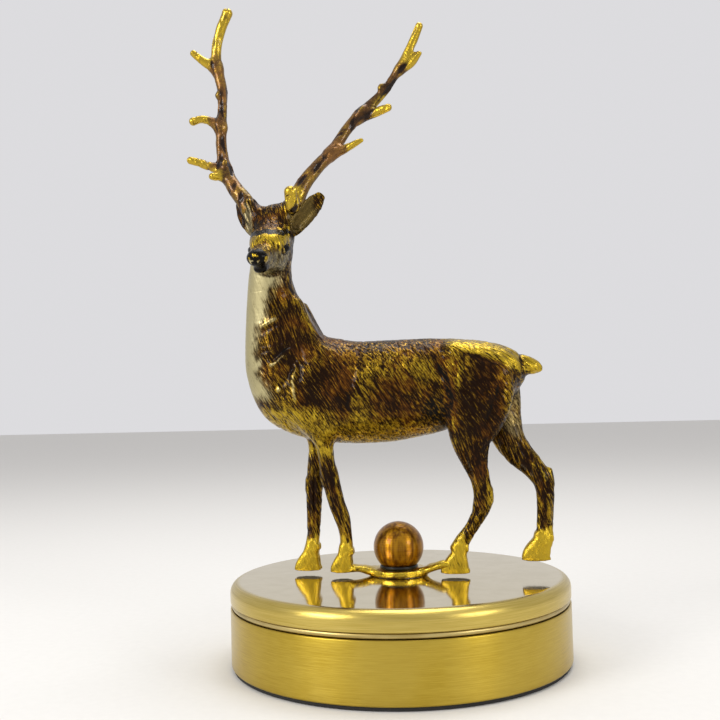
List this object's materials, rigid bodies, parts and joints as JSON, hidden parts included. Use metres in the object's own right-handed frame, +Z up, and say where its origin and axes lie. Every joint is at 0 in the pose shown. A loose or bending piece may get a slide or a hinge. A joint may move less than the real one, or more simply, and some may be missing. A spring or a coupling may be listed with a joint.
{
  "type": "stag statuette on a lidded box",
  "caption": "Cast bronze-finish stag standing on the lid of a round brushed brass box, held by a ball knob; the lid lifts off a removable inner bowl.",
  "frame": {"origin": "on the table, at the centre of the round box's underside", "axes": "+Z up along the box's axis; the stag's body runs along X with its chest towards -X and its tail towards +X, and its head is turned to face -Y"},
  "size_m": [0.1235, 0.11, 0.2218],
  "materials": {
    "black_foam": "matte closed-cell foam",
    "brushed_brass": "fine brushed, clear lacquered",
    "polished_brass": "mirror-polished top, brushed side",
    "bowl_brass": "satin",
    "zinc_steel": "bright zinc plated",
    "black_collar": "gloss black",
    "copper_ball": "satin antique copper",
    "strap_brass": "rubbed bright, lacquered",
    "stag_bronze": "antique bronze, chased, rubbed and gloss lacquered",
    "antler_bronze": "antique bronze with rubbed gold tips, gloss lacquered"
  },
  "bodies": {
    "base": {"base_pad": "black_foam", "base_cup": "brushed_brass"},
    "bowl": {"inner_bowl": "bowl_brass"},
    "lid": {"lid_shell": "polished_brass", "lid_ring": "bowl_brass", "flat_washer": "zinc_steel", "spring_washer": "zinc_steel", "clamp_screw": "zinc_steel", "foot_strap": "strap_brass", "collar": "black_collar", "ball_knob": "copper_ball", "stag_casting": "stag_bronze", "antler_left": "antler_bronze", "antler_right": "antler_bronze"}
  },
  "joints": [
    {"name": "bowl_lift", "type": "slide", "parent": "base", "child": "bowl", "axis": [0, 0, 1], "range_m": [0, 0.06]},
    {"name": "lid_lift", "type": "slide", "parent": "bowl", "child": "lid", "axis": [0, 0, 1], "range_m": [0, 0.06]}
  ]
}
